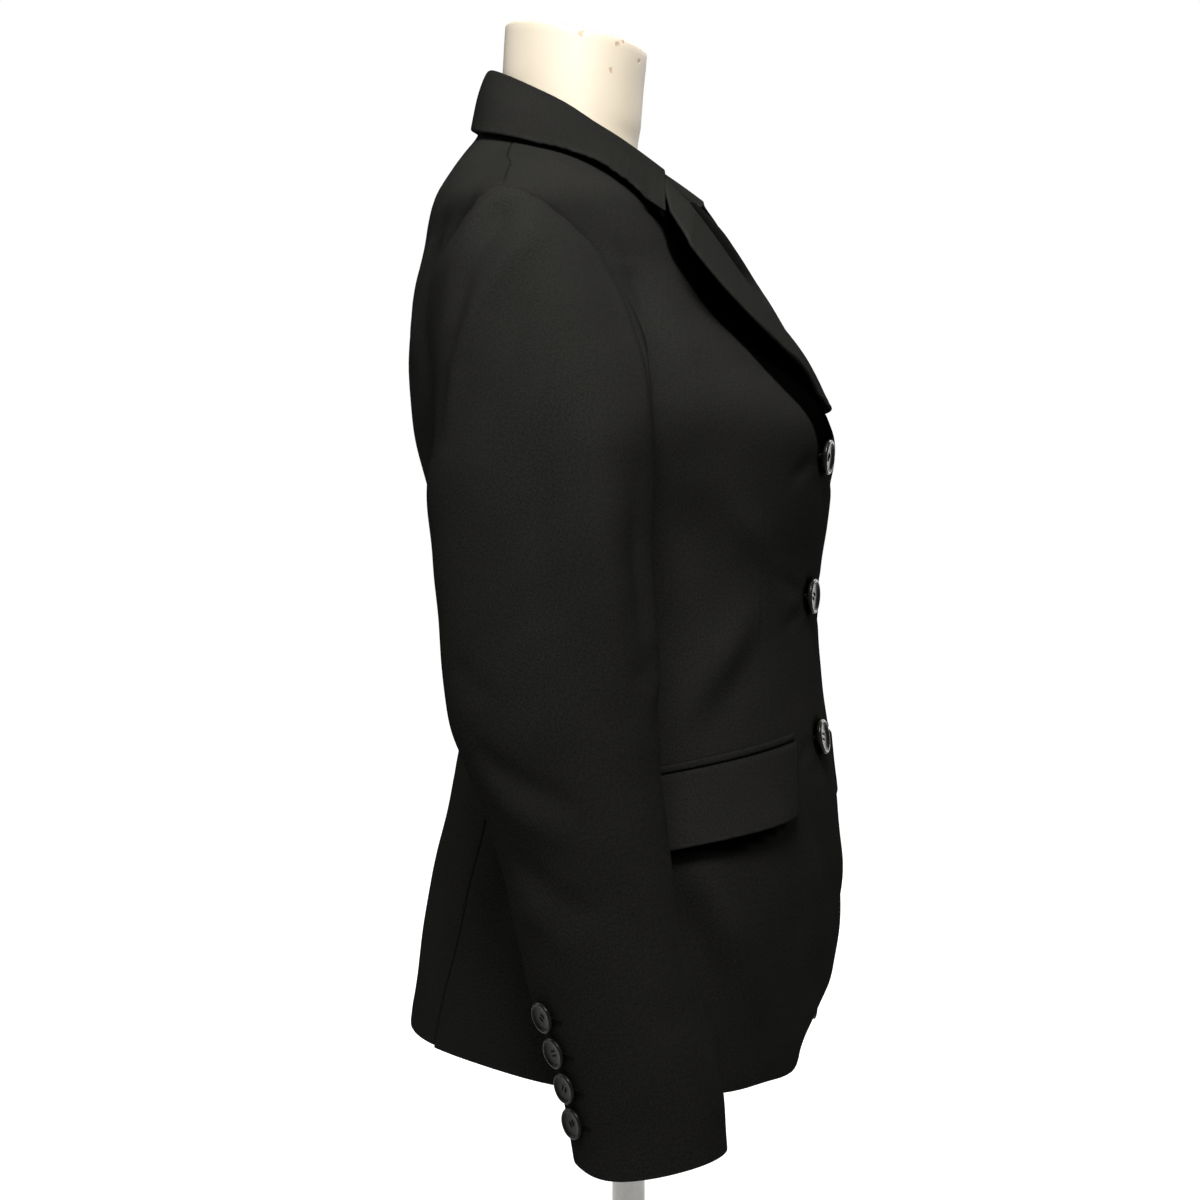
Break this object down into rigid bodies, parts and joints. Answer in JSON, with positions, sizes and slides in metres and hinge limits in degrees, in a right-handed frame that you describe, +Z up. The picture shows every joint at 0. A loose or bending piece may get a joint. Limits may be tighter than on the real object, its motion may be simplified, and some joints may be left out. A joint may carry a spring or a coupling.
{
  "type": "tailored jacket on a limbless dress form",
  "caption": "Fitted single-breasted jacket with notched lapels, cut-away fronts, flap pockets and buttoned cuffs, worn by a limbless dress form on a post and round foot.",
  "frame": {"origin": "middle of the underside of the stand's round foot, on the floor", "axes": "+Z up along the post, -Y to the front of the jacket, -X to the wearer's right"},
  "size_m": [0.5258, 0.3, 0.8522],
  "materials": {
    "black_wool": "matte fine crepe weave",
    "dark_horn": "polished, dark brown-grey",
    "cream_shell": "matte cream coat, chipped along the neck's top edge",
    "white_paint": "satin off-white paint"
  },
  "bodies": {
    "root": {"dress_form": "cream_shell", "stand": "white_paint", "front_right": "black_wool", "side_right": "black_wool", "back_right": "black_wool", "top_sleeve_right": "black_wool", "under_sleeve_right": "black_wool", "lapel_right": "black_wool", "pocket_jet_right": "black_wool", "pocket_flap_right": "black_wool", "sleeve_button_right_1": "dark_horn", "sleeve_button_right_2": "dark_horn", "sleeve_button_right_3": "dark_horn", "sleeve_button_right_4": "dark_horn", "front_left": "black_wool", "side_left": "black_wool", "back_left": "black_wool", "top_sleeve_left": "black_wool", "under_sleeve_left": "black_wool", "lapel_left": "black_wool", "pocket_jet_left": "black_wool", "pocket_flap_left": "black_wool", "sleeve_button_left_1": "dark_horn", "sleeve_button_left_2": "dark_horn", "sleeve_button_left_3": "dark_horn", "sleeve_button_left_4": "dark_horn", "collar": "black_wool", "front_button_1": "dark_horn", "front_button_2": "dark_horn", "front_button_3": "dark_horn"}
  },
  "joints": []
}
